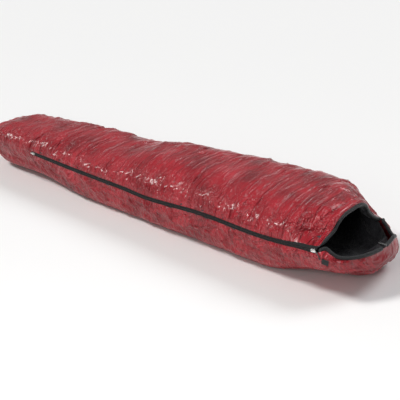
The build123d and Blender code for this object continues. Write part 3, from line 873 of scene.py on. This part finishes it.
def makeCoil(name, sign, node):
    bpy.ops.object.select_all(action="DESELECT")
    tooth = (zipper["toothWide"], zipper["toothLong"], zipper["toothHigh"])
    bpy.ops.mesh.primitive_cube_add(size=1, scale=tooth)
    piece = bpy.context.object
    piece.name = piece.data.name = name
    bpy.ops.object.transform_apply(location=False, rotation=False, scale=True)
    bpy.ops.object.mode_set(mode="EDIT")
    bpy.ops.mesh.select_all(action="SELECT")
    bpy.ops.mesh.bevel(offset=0.0006, segments=2)
    bpy.ops.object.mode_set(mode="OBJECT")
    row = piece.modifiers.new("row", "ARRAY")
    row.use_relative_offset, row.use_constant_offset = False, True
    row.constant_offset_displace = (zipper["toothPitch"], 0, 0)
    length = zipRun - zipper["coilFrom"] - zipper["coilTo"]
    row.count = int(length / zipper["toothPitch"])
    bpy.ops.object.modifier_apply(modifier=row.name)
    spots = getShape(piece)
    shift = zipper["toothPitch"] / 2 if sign > 0 else 0.0
    u = spots[:, 0] + zipper["coilFrom"] + shift + 0.25 * spots[:, 1]
    setShape(piece, onZip(u, spots[:, 1] + sign * 0.0012, spots[:, 2] + zipper["coilMiddle"]))
    smoothOver(piece, 40)
    piece.data.materials.append(coilNylon)
    if sign > 0:
        foldWithLid(piece)
    else:
        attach(piece, "lower_quilt")
    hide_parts(node)


makeTapeStrip("upperZipTape", 1, "upper_tape")
makeTapeStrip("lowerZipTape", -1, "lower_tape")
makeCoil("upperZipCoil", 1, "upper_coil")
makeCoil("lowerZipCoil", -1, "lower_coil")
print("zip made")


# a webbing tab that closes over the slider
tab = {"columns": 24, "rows": 16, "thick": 0.0013, "curl": 0.0008}


def makeClosureTab():
    low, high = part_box("closure_tab")
    piece, i, j = addGrid("closureTab", tab["columns"], tab["rows"])
    s, t = i / tab["columns"], j / tab["rows"]
    corner = np.clip(np.abs(t - 0.5) * 2 - 0.75, 0, 1) ** 2 * 0.06
    s = corner + s * (1 - 2 * corner)
    x = low.x + (high.x - low.x) * s
    z = low.z + (high.z - low.z) * t
    bow = np.sin(s * math.pi) * np.cos((t - 0.5) * math.pi)
    out = high.y + (low.y - high.y) * (0.35 + 0.65 * s) - tab["curl"] * bow
    setShape(piece, np.stack([x, out, z], 1))
    setSurface(piece, x, z)
    tidyMesh(piece, flip=False)
    giveWall(piece, tab["thick"])
    smoothOver(piece, 50)
    piece.data.materials.append(webbing)
    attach(piece, "closure_tab")
    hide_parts("closure_tab")


makeClosureTab()

# CAD pieces that stay, with their own finishes
keptFinishes = {
    "upper_slider": nickel, "lower_slider": nickel, "upper_pull": nickel, "lower_pull": nickel,
    "zip_foot_stop": nickel, "upper_pull_grip": gripRubber,
    "cord_lock_barrel": lockAcetal, "cord_lock_plunger": lockAcetal, "cord_lock_spring": springWire,
}
for node, finish in keptFinishes.items():
    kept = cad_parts[node]
    kept.data.materials.clear()
    kept.data.materials.append(finish)
print("kept pieces finished")


# camera, lights and floor
view = {"azimuth": 37.7, "elevation": 23.6, "distance": 4.10, "target": (0.151, 0.0, 0.080), "lens": 86.2}
lamps = [  # kind, direction it comes from, size (metres, or degrees for a sun), strength, colour
    ("SUN", (-0.56, -0.38, 0.74), 14, 2.1, (1.0, 0.99, 0.97)),
    ("SUN", (0.25, 0.75, 0.85), 30, 1.3, (0.97, 0.98, 1.0)),
    ("AREA", (1.3, -2.6, 1.3), 0.8, 16, (1.0, 0.98, 0.96)),
]


def setStage():
    az, el = math.radians(view["azimuth"]), math.radians(view["elevation"])
    back = Vector((math.sin(az) * math.cos(el), -math.cos(az) * math.cos(el), math.sin(el)))
    bpy.ops.object.camera_add(location=Vector(view["target"]) + back * view["distance"])
    camera = bpy.context.object
    camera.rotation_euler = back.to_track_quat("Z", "Y").to_euler()
    camera.data.lens = view["lens"]
    bpy.context.scene.camera = camera
    for kind, place, size, power, colour in lamps:
        bpy.ops.object.light_add(type=kind, location=place)
        lamp = bpy.context.object
        lamp.rotation_euler = Vector(place).to_track_quat("Z", "Y").to_euler()
        lamp.data.energy, lamp.data.color = power, colour
        if kind == "SUN":
            lamp.data.angle = math.radians(size)
        else:
            lamp.data.size = size
    world = bpy.data.worlds.new("studio")
    bpy.context.scene.world = world
    world.use_nodes = True
    world.node_tree.nodes["Background"].inputs[0].default_value = (1.0, 1.0, 1.0, 1)
    world.node_tree.nodes["Background"].inputs[1].default_value = 0.22
    bpy.context.scene.view_settings.view_transform = "Standard"
    bpy.ops.mesh.primitive_plane_add(size=40, location=(0, 0, -0.0005))
    floor = bpy.context.object
    floor.name = "studioFloor"
    pale = Finish("paleFloor", {"Base Color": (0.9, 0.9, 0.9, 1), "Roughness": 0.9})
    floor.data.materials.append(pale.material)
    print("stage set")


setStage()
